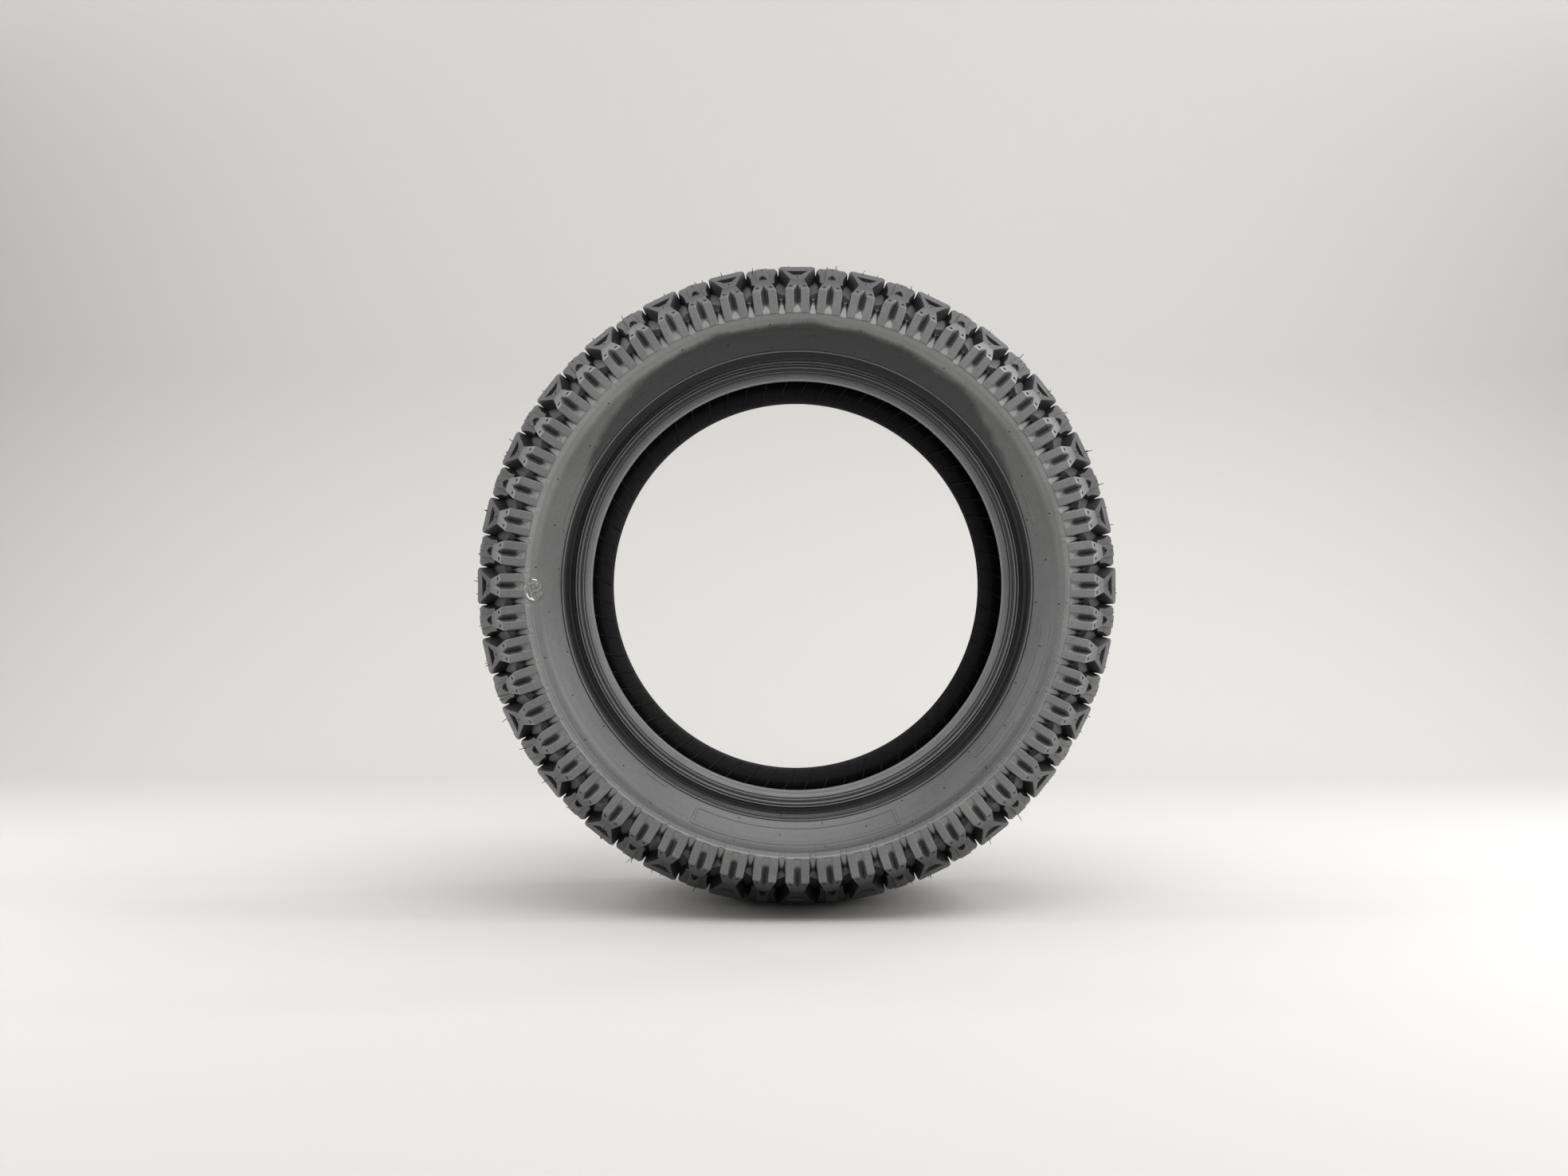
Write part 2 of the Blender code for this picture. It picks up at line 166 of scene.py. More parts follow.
paper = new_material("sweep_paper")
set_inputs(paper, Base_Color=(0.485, 0.478, 0.467, 1.0), Roughness=0.9)
sweep_line = [(SWEEP_FRONT, 0.0)]
for k in range(17):
    turn = math.radians(90.0) * k / 16
    rise = SWEEP_BEND * (1 - math.cos(turn))
    sweep_line.append((SWEEP_BACK - SWEEP_BEND * (1 - math.sin(turn)), rise))
sweep_line.append((SWEEP_BACK, SWEEP_TOP))
sweep_points = []
for y, z in sweep_line:
    for x in (-SWEEP_HALF, SWEEP_HALF):
        sweep_points.append((x * 1000, y * 1000, (z + FLOOR_Z) * 1000))
sweep_faces = [(2 * k, 2 * k + 1, 2 * k + 3, 2 * k + 2) for k in range(len(sweep_line) - 1)]
new_piece("sweep", sweep_points, sweep_faces, paper, smooth_under=40.0)

# Each lamp's name, its place, aim, width and height in metres, and its watts.
LAMPS = [
    ("right_softbox", (1.45, -0.15, 0.75), (0.1, -0.05, 0.05), (0.8, 1.3), 30.0),
    ("left_softbox", (-1.45, -0.15, 0.75), (-0.1, -0.05, 0.05), (0.8, 1.3), 22.0),
    ("high_softbox", (0.2, -1.3, 2.1), (0.0, 0.0, 0.0), (2.2, 1.2), 44.0),
    ("front_softbox", (0.5, -2.8, 0.5), (0.0, 0.0, 0.0), (1.6, 1.2), 14.0),
    ("backdrop_lamp", (0.5, 1.15, 2.4), (0.5, 1.7, 1.6), (4.6, 0.4), 23.0),
    ("backdrop_left", (-1.7, 1.1, 2.2), (-1.8, 1.7, 1.3), (0.9, 0.4), 17.0),
    ("backdrop_right", (1.9, 1.1, 2.2), (1.8, 1.7, 1.3), (0.9, 0.4), 24.0),
]
for name, place, aim, (width, height), watts in LAMPS:
    light = bpy.data.lights.new(name, "AREA")
    light.shape = "RECTANGLE"
    light.size = width
    light.size_y = height
    light.energy = watts
    holder = bpy.data.objects.new(name, light)
    holder.location = place
    holder.rotation_euler = (Vector(aim) - Vector(place)).to_track_quat("-Z", "Y").to_euler()
    bpy.context.scene.collection.objects.link(holder)
air = bpy.data.worlds.new("studio_air")
air.use_nodes = True
air.node_tree.nodes["Background"].inputs["Color"].default_value = (1.0, 1.0, 1.0, 1.0)
air.node_tree.nodes["Background"].inputs["Strength"].default_value = 0.16
bpy.context.scene.world = air


# The tread: one band of black off-road rubber with 56 forked lugs on each shoulder. Each lug runs over the
# shoulder into a crown block, by turns a Y block with a window and a T block with a raised neck. The plates
# of the mould draw out sideways, so the forks and the gaps open to the side, with a ramp at each foot.
LUG_PAIRS = 28
PITCH = math.pi / LUG_PAIRS
CROWN_R, CROWN_FLAT = 287.0, 28.0
CROWN_DROP, CROWN_POWER = 0.0448, 1.43
LUG_FACE = 130.9

# Stations are lengths over the lug tops from the middle of the crown, in mm. The next two lists go from the
# crown to the sidewall, with the station, the distance to the side and the radius of the lug tops and of the
# groove floors.
CHAMFER_TOP, CHAMFER_FOOT, LUG_FOOT, TREAD_EDGE = 118.5, 137.5, 158.7, 163.3
SHOULDER = [
    (CHAMFER_TOP - 0.8, 113.75, 261.3),
    (CHAMFER_TOP + 0.8, 115.2, 260.5),
    (CHAMFER_FOOT - 0.8, 129.8, 251.05),
    (CHAMFER_FOOT, 130.4, 250.4),
    (CHAMFER_FOOT + 0.8, 130.52, 249.6),
    (148.0, LUG_FACE, 240.2),
    (LUG_FOOT - 0.5, 130.6, 230.0),
    (LUG_FOOT + 0.5, 130.1, 229.0),
    (TREAD_EDGE, 127.2, 226.1),
]
GROOVE = [
    (0.0, 0.0, 284.4),
    (4.0, 4.0, 283.8),
    (9.0, 9.0, 279.4),
    (30.0, 30.0, 277.4),
    (60.0, 58.0, 269.6),
    (88.0, 84.5, 260.3),
    (118.5, 105.5, 251.0),
    (137.5, 113.0, 245.2),
    (140.0, 114.5, 245.4),
    (143.0, 122.4, 244.8),
    (149.0, 124.6, 240.2),
    (LUG_FOOT + 0.5, 130.1, 229.0),
    (TREAD_EDGE, 127.2, 226.1),
]
EDGE_EASE, EDGE_SINK = 0.42, 0.3

# The outlines of the blocks and of the fork below them, each corner with its half width and station.
ARM_FOOT, ARM_ELBOW = (5.6, 116.0), (16.0, 60.0)
Y_EDGE = [(6.5, 5.4), (12.2, 12.0), (12.4, 28.0), (13.9, 41.4), (12.8, 43.6), (14.3, 45.8)]
Y_EDGE += [ARM_ELBOW, ARM_FOOT]
T_EDGE = [(6.0, 5.6), (10.3, 12.0), (10.5, 28.0), (11.8, 41.4), (10.8, 43.6), (12.2, 45.8)]
T_EDGE += [(13.7, 60.0), (10.2, 88.0), (10.0, 108.5), (5.9, 112.5)]
T_NECK = [(5.2, 115.0), (5.1, 28.0), (5.0, 12.0), (4.4, 6.4)]
PANEL_SINK = [(0.0, 0.6), (28.0, 0.7), (60.0, 2.2), (88.0, 3.8), (120.0, 4.4)]
SLOT_TIP, SLOT_SET, SLOT_LEAN = 127.0, 125.5, 0.25
SLOT_EDGE = [(0.7, 128.2), (1.7, 130.6), (2.65, 133.6), (3.38, CHAMFER_FOOT), (3.4, 150.0), (3.2, 157.4)]
FRONT_EDGE = [(3.8, 158.2), (9.0, 158.2), (9.7, 157.4), (10.0, 149.0), (10.0, CHAMFER_FOOT)]
FRONT_EDGE += [(5.9, CHAMFER_TOP)]
RAMP_TIP, RAMP_RUN, RAMP_END = 150.4, 7.4, (130.3, 229.9)
DOT_X, DOT_STATION, DOT_RADIUS = 5.7, 132.4, 1.5


def between(a, b, t):
    return tuple(u + t * (w - u) for u, w in zip(a, b))


def on_line(line, at):
    """The rest of a stop on a line of (place, ...) stops, wherever this place falls."""
    for low, high in zip(line, line[1:]):
        if at <= high[0] or high is line[-1]:
            return between(low[1:], high[1:], (at - low[0]) / (high[0] - low[0]))


def top_at(station):
    """The (side, radius) of the lug tops, a length along them from the middle of the crown."""
    if station >= SHOULDER[0][0]:
        return on_line(SHOULDER, station)
    y = station * SHOULDER[0][1] / SHOULDER[0][0]
    return y, CROWN_R - CROWN_DROP * max(0.0, y - CROWN_FLAT) ** CROWN_POWER


def groove_at(station, share=1.0):
    """A point this share of the way from the lug tops down to the groove floor."""
    return between(top_at(station), on_line(GROOVE, station), share)


def slot_at(station, share):
    """A point this share of the way from the lug front straight in to the floor of its slot."""
    y, r = top_at(station)
    return y + share * (SLOT_SET - SLOT_LEAN * (r - 243.0) - y), r


def sunk(station, depth):
    """A point this far below the lug tops, square to them."""
    y0, r0 = top_at(station - 0.4)
    y1, r1 = top_at(station + 0.4)
    y, r = top_at(station)
    long = math.hypot(y1 - y0, r1 - r0)
    return y + depth * (r1 - r0) / long, r - depth * (y1 - y0) / long


def pitch_at(station):
    """The room for one lug, side to side."""
    return PITCH * top_at(station)[1]


def edge_at(edge, station):
    """The half width of a block here."""
    return on_line([(s, x) for x, s in edge], station)[0]


def grown(loop, distance, keep=True):
    """A closed loop moved outwards, to its right, with small moves along the station undone."""
    moved = []
    for i, point in enumerate(loop):
        here, before, after = Vector(point), Vector(loop[i - 1]), Vector(loop[(i + 1) % len(loop)])
        a, b = (here - before).normalized(), (after - here).normalized()
        mean = (a + b).normalized()
        right = Vector((mean.y, -mean.x))
        spot = here + right * (distance / max(0.5, mean.dot(a)))
        moved.append((spot.x, point[1] if keep and abs(spot.y - point[1]) < 0.3 else spot.y))
    return moved


def with_rows(line, rows):
    """The line with a corner added wherever it crosses one of these stations."""
    made = [line[0]]
    for a, b in zip(line, line[1:]):
        crossed = [s for s in rows if min(a[1], b[1]) + 0.05 < s < max(a[1], b[1]) - 0.05]
        for s in sorted(crossed, reverse=a[1] > b[1]):
            made.append(between(a, b, (s - a[1]) / (b[1] - a[1])))
        made.append(b)
    return made


class Cell:
    """A lug with half a gap each side, laid flat as (width, station), each corner with its real place."""

    def __init__(self):
        self.flat = []
        self.real = []
        self.edges = []

    def add(self, x, station, real):
        """The number of the corner at this spot, which is made if there is none."""
        for i, (known_x, known_s) in enumerate(self.flat):
            if abs(known_x - x) < 0.02 and abs(known_s - station) < 0.02:
                return i
        self.flat.append((x, station))
        self.real.append(real)
        return len(self.flat) - 1

    def chain(self, line, real, close=False):
        """Joins corners, and takes each one's real (side, radius) from its station."""
        ids = [self.add(x, s, real(s)) for x, s in line]
        ends = ids[1:] + ids[:1] if close else ids[1:]
        self.edges += [(a, b) for a, b in zip(ids, ends) if a != b]

    def both_sides(self, line, real):
        """Joins corners on one half of the lug, and their twins on the other half."""
        self.chain(line, real)
        self.chain([(-x, s) for x, s in line], real)

    def row(self, station, low=-99.0, high=99.0):
        """Joins the corners that lie on one station, between these widths."""
        found = []
        for i, (x, s) in enumerate(self.flat):
            if abs(s - station) < 0.02 and low <= x <= high:
                found.append((x, i))
        found.sort()
        self.edges += [(i, j) for (_, i), (_, j) in zip(found, found[1:])]

    def bowl(self, rim, run, depth, ease=0.3):
        """A sunk recess with this rim, an eased edge and a floor set in by the run of its walls."""
        self.chain(grown(rim, ease, False), lambda s: sunk(s, 0.0), True)
        self.chain(rim, lambda s: sunk(s, 0.25), True)
        self.chain(grown(rim, -run, False), lambda s: sunk(s, depth), True)

    def surface(self):
        """The corners as (angle, side, radius), and the triangles between them."""
        flat = [Vector(p) for p in self.flat]
        edges = sorted({tuple(sorted(e)) for e in self.edges})
        points, _, faces, origins, _, _ = delaunay_2d_cdt(flat, edges, [], 1, 1e-5)
        made = []
        for point, sources in zip(points, origins):
            y, r = self.real[sources[0]]
            made.append((point.x / top_at(point.y)[1], y, r))
        return made, faces


CROWN_ROWS = [24.0, 55.0, 60.0, 70.0, 78.0]
CHAMFER_ROWS = [CHAMFER_TOP - 0.8, CHAMFER_TOP + 0.8]
FRONT_ROWS = [CHAMFER_FOOT - 0.8, CHAMFER_FOOT, CHAMFER_FOOT + 0.8]
LUG_ROWS = CROWN_ROWS + CHAMFER_ROWS + FRONT_ROWS
PANEL_ROWS = [88.0, 100.0]
MIDDLE = [0.0, 12.0, 28.0, 43.6, 60.0, 68.0, 78.0, 88.0, 100.0, 112.0, 118.5, 127.0]
FOOT_STATIONS = [140.9, 145.5, 148.0, 158.5, LUG_FOOT + 0.5, TREAD_EDGE]


def gap_middle(station, is_y):
    """The half width of a cell: the middle line of the gap beside a Y or a T block."""
    half = pitch_at(station) / 2
    if 5.0 < station < 112.0:
        lean = (edge_at(Y_EDGE, station) - edge_at(T_EDGE, station)) / 2
        half += lean if is_y else -lean
    return half


def outline(cell, is_y):
    """The eased outer edge of the lug and its crown block."""
    neck = Y_EDGE[::-1] if is_y else T_NECK
    half = with_rows(SLOT_EDGE + FRONT_EDGE + neck, LUG_ROWS)
    loop = [(0.0, SLOT_TIP)] + half + [(0.0, half[-1][1] - 0.4)] + [(-x, s) for x, s in reversed(half)]
    turned_round = loop[::-1]
    cell.chain(turned_round, lambda s: sunk(s, EDGE_SINK), True)
    cell.chain(grown(turned_round, -EDGE_EASE), lambda s: sunk(s, 0.0), True)


def fork(cell):
    """Slanted slot walls that meet in a line, a gabled ramp at the foot, and a vent pit on each side."""
    meeting = (129.4, 130.6, 133.6, CHAMFER_FOOT, 143.0, RAMP_TIP)
    cell.chain([(0.0, station) for station in meeting], lambda s: slot_at(s, 1.0))
    gable = slot_at(RAMP_TIP, 1.0)
    ramp = [(0.0, RAMP_TIP), (2.9, 153.8), (3.0, 157.6), (-3.0, 157.6), (-2.9, 153.8)]
    cell.chain(ramp, lambda s: between(gable, RAMP_END, (s - RAMP_TIP) / RAMP_RUN), True)
    turns = [2 * math.pi * k / 10 for k in range(10)]
    for x in (-DOT_X, DOT_X):
        rim = [(x + DOT_RADIUS * math.cos(a), DOT_STATION + DOT_RADIUS * math.sin(a)) for a in turns]
        cell.bowl(rim, run=0.2, depth=2.4, ease=0.15)


def gap(cell, is_y):
    """A spiky ramp between two wedges at the foot, a slanted dam, and a deep pocket up the shoulder."""
    # The two ridges of the dam end here on the flank of a Y lug, and higher up on a T lug.
    front, back = (142.6, 141.6) if is_y else (138.9, 138.0)
    edge = Y_EDGE if is_y else T_EDGE
    floor = [(gap_middle(68.0, is_y), 68.0)]
    floor += [(edge_at(edge, s) + 1.3, s) for s in (78.0, 88.0, 100.0, 106.0)]
    floor += [(7.2, 114.0), (7.3, CHAMFER_TOP), (9.0, 127.0), (pitch_at(137.0) / 2 - 2.8, back - 1.4)]
    floor += [(pitch_at(139.0) / 2, 139.0)]
    cell.both_sides(floor, groove_at)
    behind = [(pitch_at(140.0) / 2, 140.0), (pitch_at(back) / 2 - 3.3, back)]
    cell.both_sides(behind, lambda s: sunk(s, 6.0))
    before = [(pitch_at(140.9) / 2, 140.9), (pitch_at(front) / 2 - 3.45, front)]
    cell.both_sides(before, lambda s: sunk(s, 5.8))
    cell.both_sides([(pitch_at(145.5) / 2, 145.5), (pitch_at(145.3) / 2 - 1.95, 145.3)], groove_at)
    spike = [(0.0, 148.0), (1.3, 152.6), (2.7, 158.3), (0.0, 158.5)]
    cell.both_sides([(pitch_at(s) / 2 - inset, s) for inset, s in spike], groove_at)
    wedge = [(2.3, 148.2), (2.35, 152.6), (2.85, 156.4)]
    cell.both_sides([(pitch_at(s) / 2 - inset, s) for inset, s in wedge], lambda s: groove_at(s, 1.35))


def crown(cell, is_y):
    """The grooves, wide at the middle and tight at the elbows, and what is sunk into the crown blocks."""
    edge = Y_EDGE if is_y else T_EDGE
    foot = [(edge_at(edge, s) + 1.4, s) for s in (34.0, 28.0, 13.0)] + [(7.0, 4.2), (0.0, 3.6)]
    cell.both_sides(foot, groove_at)
    if is_y:
        window = [(8.9, 82.0), (3.0, 100.0), (-3.0, 100.0), (-8.9, 82.0)]
        cell.bowl(window, run=0.5, depth=10.0, ease=0.4)
        cell.bowl([(7.7, 30.0), (7.7, 50.0), (-7.7, 50.0), (-7.7, 30.0)], run=0.7, depth=1.3)
        return
    arch = [(3.9, 114.6), (3.8, 110.0), (3.2, 104.0), (1.9, 98.4), (0.0, 95.6)]
    cell.bowl(arch[::-1] + [(-x, s) for x, s in arch[:-1]], run=0.9, depth=2.6)
    panel = with_rows(T_EDGE, LUG_ROWS + PANEL_ROWS)
    inner = [(5.6, s) for x, s in panel if 13.0 < s < 108.0]
    top, bottom = (5.2, 6.8), (5.75, 111.0)

    def panel_at(station):
        return sunk(station, on_line(PANEL_SINK, station)[0])

    def edge_of_panel(station):
        return sunk(station, on_line(PANEL_SINK, station)[0] + EDGE_SINK)

    cell.both_sides([top, (5.5, 13.0)] + inner + [bottom], panel_at)
    cell.both_sides([top] + [(x - 0.4, s) for x, s in panel[1:-1]] + [bottom], panel_at)
    cell.both_sides([(0.0, 5.0)] + panel, edge_of_panel)
    for s in CROWN_ROWS + PANEL_ROWS:
        cell.row(s, 5.3, edge_at(T_EDGE, s) + 0.1)
        cell.row(s, -edge_at(T_EDGE, s) - 0.1, -5.3)


def rows(cell, is_y):
    """Straight folds across the lug, which keep its faces flat."""
    for s in CROWN_ROWS + CHAMFER_ROWS:
        reach = 5.25
        if s > 116.0:
            reach = 6.2
        elif is_y:
            reach = edge_at(Y_EDGE, s) + 0.3
        cell.row(s, -reach, reach)
    for s in FRONT_ROWS:
        cell.row(s, 3.0, 10.1)
        cell.row(s, -10.1, -3.0)


def borders(cell, is_y):
    """The four borders, which the next cells share."""
    shares = {43.6: 0.8, 60.0: 0.7, 68.0: 0.95}
    beside = [(gap_middle(s, is_y), s) for s in MIDDLE]
    cell.both_sides(beside, lambda s: groove_at(s, shares.get(s, 1.0)))
    for stations in ((127.0, 139.0), (139.0, 140.0), (140.0, 140.9), FOOT_STATIONS):
        cell.both_sides([(pitch_at(s) / 2, s) for s in stations], groove_at)
    cell.both_sides([(pitch_at(0.0) / 2, 0.0), (0.0, 0.0)], groove_at)
    cell.chain([(pitch_at(TREAD_EDGE) * k / 10, TREAD_EDGE) for k in range(-5, 6)], groove_at)


def lug_cell(is_y):
    """The relief of one lug, with a Y or a T block on the crown."""
    cell = Cell()
    outline(cell, is_y)
    fork(cell)
    gap(cell, is_y)
    crown(cell, is_y)
    rows(cell, is_y)
    borders(cell, is_y)
    return cell.surface()


def noise(place, scale, detail, roughness):
    inputs = {"Vector": place, "Scale": scale, "Detail": detail, "Roughness": roughness}
    return Value.node("ShaderNodeTexNoise", {}, inputs)


def rubber(name, colour, dust_and_lit_tone, roughness, grain=0.12, light_mask=None):
    """Moulded rubber with a fine grain, mixed towards a lighter tone by clouded noise and by the mask
    function given, which paints light and shade into the colour; without one the lighter tone goes on what
    faces up.
    """
    made = new_material(name)
    place = Value.node("ShaderNodeTexCoord", {}, {}, 3)
    cloud = noise(place, 24.0, 5.0, 0.62)
    fine = noise(place, 800.0, 3.0, 0.7)
    if light_mask:
        dust_and_light_share = light_mask(place, cloud) * (0.6 + cloud * 0.8)
    else:
        normal = Value.node("ShaderNodeNewGeometry", {}, {}, 1)
        up = Value.node("ShaderNodeSeparateXYZ", {}, {"Vector": normal}, 2)
        dust_and_light_share = (up * 0.35 + cloud * 1.2 - 0.4).step(0.0, 0.9)
    tint = {"Factor": dust_and_light_share + (fine - 0.5) * 0.5, 6: (*colour, 1.0), 7: (*dust_and_lit_tone, 1.0)}
    bump = {"Strength": grain, "Distance": 0.0004, "Height": fine + cloud * 0.4}
    set_inputs(
        made,
        Base_Color=Value.node("ShaderNodeMix", {"data_type": "RGBA"}, tint, 2),
        Roughness=roughness + (cloud - 0.5) * 0.22 + (fine - 0.5) * 0.1,
        Normal=Value.node("ShaderNodeBump", {}, bump),
    )
    return made


def around(y, r, angle):
    """The point at this side distance and radius, with the angle running from the top towards +X."""
    return r * math.sin(angle), y, max(r * math.cos(angle), FLOOR_Z * 1000 + 0.05)


def radius_of(place):
    """The distance from the wheel axis in millimetres, and the height as a share of it."""
    x = Value.node("ShaderNodeSeparateXYZ", {}, {"Vector": place}, 0)
    z = Value.node("ShaderNodeSeparateXYZ", {}, {"Vector": place}, 2)
    radius = Value.node("ShaderNodeMath", {"operation": "SQRT"}, {0: x * x + z * z})
    return radius * 1000.0, z / radius


def aside(place):
    """The distance from the middle plane in millimetres, to either side."""
    sideways = Value.node("ShaderNodeSeparateXYZ", {}, {"Vector": place}, 1)
    return abs(sideways * 1000.0)


def tread_light_mask(place, cloud):
    """Painted light on the lug fronts and their chamfers (the chamfers less towards the top), brighter on
    the ramps at their feet and on the band under the feet (more towards the top), thinning out further in,
    with some clouded dust.
    """
    radius, height = radius_of(place)
    reach = aside(place)
    off_front = 1.0 - reach.step(LUG_FACE - 1.7, LUG_FACE - 0.8)
    along_chamfer_normal = reach * 0.545 + radius * 0.838
    off_chamfer = 1.0 - along_chamfer_normal.step(280.2, 280.8)
    on_ramp = (1.0 - radius.step(236.0, 240.0)) * (reach + radius * 0.49).step(241.2, 242.0) * off_front
    under_feet = (1.0 - radius.step(228.6, 229.6)) * (0.55 + height * 0.4)
    thin = reach.step(112.0, 130.0) * 0.2 + (cloud - 0.5).step(0.0, 0.2) * 0.07
    lug = (1.0 - off_front) * 0.36 + (1.0 - off_chamfer) * off_front * (0.36 - height * height * 0.32)
    return lug + on_ramp * 0.8 + under_feet + thin


# The tread's black is its shaded tone, and the lighter tone is painted light where the mask puts it, with
# some clouded dust.
TREAD_BLACK, TREAD_DUST_AND_LIGHT = (0.014, 0.015, 0.0165), (0.24, 0.24, 0.238)
tread_rubber = rubber("tread_rubber", TREAD_BLACK, TREAD_DUST_AND_LIGHT, 0.4, grain=0.3, light_mask=tread_light_mask)
set_inputs(tread_rubber, Specular_IOR_Level=0.4)

# Y and T lugs take turns, and the two sides are staggered by one lug.
cells = {True: lug_cell(True), False: lug_cell(False)}
tread_points = []
tread_faces = []
for side in (-1, 1):
    for k in range(2 * LUG_PAIRS):
        is_y = (k % 2 == 0) == (side < 0)
        corners, faces = cells[is_y]
        start = len(tread_points)
        tread_points += [around(side * y, r, a + k * PITCH) for a, y, r in corners]
        for face in faces:
            tread_faces.append([start + i for i in (face if side < 0 else face[::-1])])
tread = new_piece("tread", tread_points, tread_faces, tread_rubber)
bm = bmesh.new()
bm.from_mesh(tread.data)
bmesh.ops.remove_doubles(bm, verts=bm.verts, dist=1e-5)
bmesh.ops.recalc_face_normals(bm, faces=bm.faces)
bm.to_mesh(tread.data)
bm.free()
tread.data.shade_smooth()
tread.data.set_sharp_from_angle(angle=math.radians(28.0))
evened = tread.modifiers.new("evened", "WEIGHTED_NORMAL")
evened.keep_sharp = True
evened.weight = 80
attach(tread, "root")
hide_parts("tread_cap")


# Pips and spew hairs: rubber that ran up the vents of the mould. The vents in the pits and blocks leave
# short stubs, and those on the crown leave hairs that bend about as they are pulled from the mould.
PIP_SIDES = 7
PIT_STUB, STUB = (-2.45, -1.2), (-0.1, 0.9)
HAIRS, HAIR_RADII, HAIR_SHARES = 3, (0.42, 0.36, 0.3, 0.2), (0.0, 0.4, 0.75, 1.0)
PANEL_LOW = 2.24


def stalk(points, faces, line, radii):
    """A thin round stalk along a line, closed by a point at its end."""
    start = len(points)
    for (here, after), radius in zip(zip(line, line[1:] + line[-1:]), radii):
        way = (after - here) if (after - here).length > 1e-6 else (here - line[-2])
        across = way.orthogonal().normalized()
        beside = way.normalized().cross(across)
        for k in range(PIP_SIDES):
            a = 2 * math.pi * k / PIP_SIDES
            points.append(here + (across * math.cos(a) + beside * math.sin(a)) * radius)
    for ring in range(len(line) - 1):
        for k in range(PIP_SIDES):
            low = start + ring * PIP_SIDES
            j = (k + 1) % PIP_SIDES
            faces.append((low + k, low + j, low + PIP_SIDES + j, low + PIP_SIDES + k))
    faces.append([len(points) - PIP_SIDES + k for k in range(PIP_SIDES)])


def facing(side, station, angle, lift):
    """A point lifted off the lug tops."""
    y, r = sunk(station, -lift)
    return Vector((r * math.sin(angle), side * y, r * math.cos(angle)))


chance = random.Random(14)
stub_points = []
stub_faces = []
for side in (-1, 1):
    for k in range(2 * LUG_PAIRS):
        is_y = (k % 2 == 0) == (side < 0)
        for x in (-DOT_X, DOT_X):
            angle = k * PITCH + x / top_at(DOT_STATION)[1]
            line = [facing(side, DOT_STATION, angle, lift) for lift in PIT_STUB]
            stalk(stub_points, stub_faces, line, (0.42, 0.34))
        spots = [(108.0, 0.0), (90.0, -8.0)] if is_y else [(108.0, -2.6), (70.0, 0.0)]
        for station, low in spots:
            line = [facing(side, station, k * PITCH, low + lift) for lift in STUB]
            stalk(stub_points, stub_faces, line, (0.6, 0.42))
        for _ in range(HAIRS):
            x = chance.choice((-1, 1)) * chance.uniform(3.0, 9.6)
            station = chance.choice((16.0, 24.0, 54.0, 66.0)) + chance.uniform(-1.0, 1.0)
            angle = k * PITCH + x / CROWN_R
            if math.cos(angle) < -0.97:
                continue
            tall = chance.choice((1.2, 1.6, 2.2, 3.4, 5.0))
            lean = Vector([chance.uniform(-0.35, 0.35) for _ in range(3)])
            low = PANEL_LOW if not is_y and abs(x) > 5.2 else 0.0
            line = []
            for share in HAIR_SHARES:
                line.append(facing(side, station, angle, tall * share - low) + lean * tall * share * share)
            stalk(stub_points, stub_faces, line, HAIR_RADII)
stubs = new_piece("tread_pips", stub_points, stub_faces, tread_rubber, smooth_under=70.0)
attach(stubs, "root")


# The sidewalls: smooth rubber that flexes, from under the lug feet in to the thin rim line. Low rings, vent
# dots and blank raised bars are left by the mould plates, the bars standing in for the markings.
SIDE_TURNS = 560
VENTS_ROUND = 18
VENT_DOTS = ((4.0, 212.6), (14.0, 221.8), (14.0, 204.2))
BAR_LIFT, BAR_BEVEL, SUNK_IN = 0.5, 0.35, -0.1
SIDE_LINE = [
    (127.2, 226.1),
    (126.6, 225.2),
    (126.2, 224.9),
    (125.2, 223.6),
    (122.6, 220.2),
    (120.9, 218.0),
    (120.3, 217.5),
    (119.0, 216.0),
    (116.7, 213.2),
    (114.8, 211.1),
    (112.6, 208.3),
    (110.6, 205.6),
    (109.0, 203.6),
    (108.1, 202.2),
    (107.6, 201.5),
    (108.3, 201.0),
    (108.2, 200.3),
    (107.2, 199.9),
    (106.4, 199.45),
    (105.6, 199.0),
]
FACE_LEVEL = [(r, y) for y, r in SIDE_LINE[::-1]]


def turned(name, section, material, side, turns, smooth_under):
    """A section turned round the wheel axis, closed on itself all the way round."""
    points = []
    for k in range(turns):
        a = 2 * math.pi * k / turns
        points += [(r * math.sin(a), side * y, r * math.cos(a)) for y, r in section]
    count = len(section)
    faces = []
    for k in range(turns):
        here, after = k * count, (k + 1) % turns * count
        for i in range(count - 1):
            face = (here + i, here + i + 1, after + i + 1, after + i)
            faces.append(face if side < 0 else face[::-1])
    return new_piece(name, points, faces, material, smooth_under)


def on_wall(r, angle, side, lift=0.0):
    """A point on the sidewall at this radius, lifted square to it."""
    y = on_line(FACE_LEVEL, r)[0]
    slope = on_line(FACE_LEVEL, r + 0.5)[0] - on_line(FACE_LEVEL, r - 0.5)[0]
    long = math.hypot(1.0, slope)
    y += lift / long
    r -= lift * slope / long
    return Vector((r * math.sin(angle), side * y, r * math.cos(angle)))


